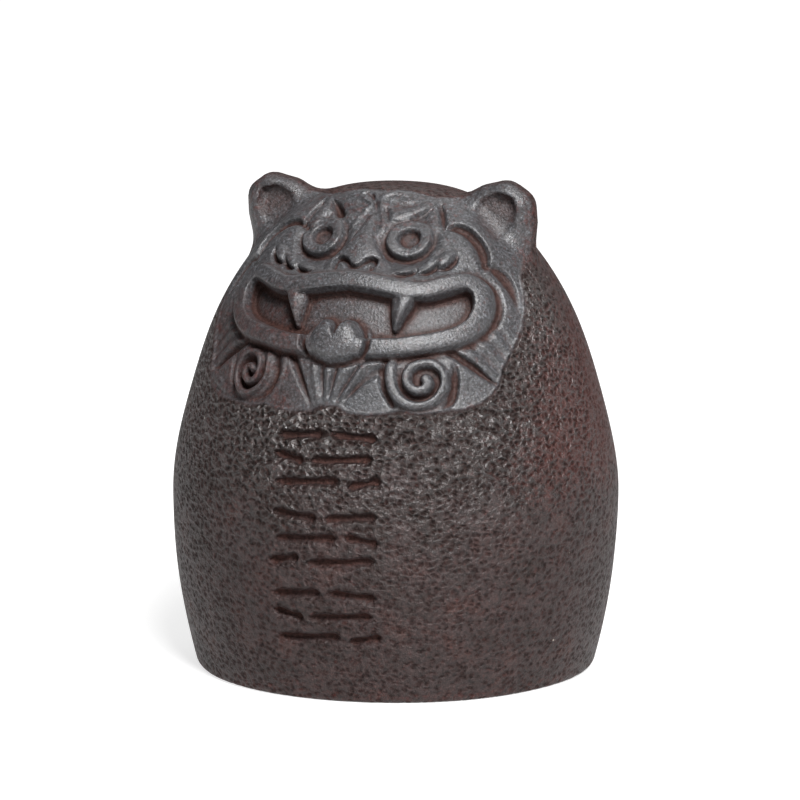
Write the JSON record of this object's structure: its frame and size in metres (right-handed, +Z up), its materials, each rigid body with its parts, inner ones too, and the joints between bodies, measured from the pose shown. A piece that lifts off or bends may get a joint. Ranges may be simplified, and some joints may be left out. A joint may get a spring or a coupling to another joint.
{
  "type": "tea pet figurine",
  "caption": "Bell-shaped tiger figure of dark fired clay with round ears, an open mouth with tongue and fangs, a curled beard and rows of shallow strokes down its front.",
  "frame": {"origin": "middle of the flat base, on the surface it stands on", "axes": "+Z up, the face looks along -Y, +X is the viewer's right from the front"},
  "size_m": [0.0754, 0.0754, 0.0832],
  "materials": {
    "fired_clay": "unglazed, satin on the face and pebbled on the body"
  },
  "bodies": {
    "root": {"tiger_tea_pet": "fired_clay"}
  },
  "joints": []
}
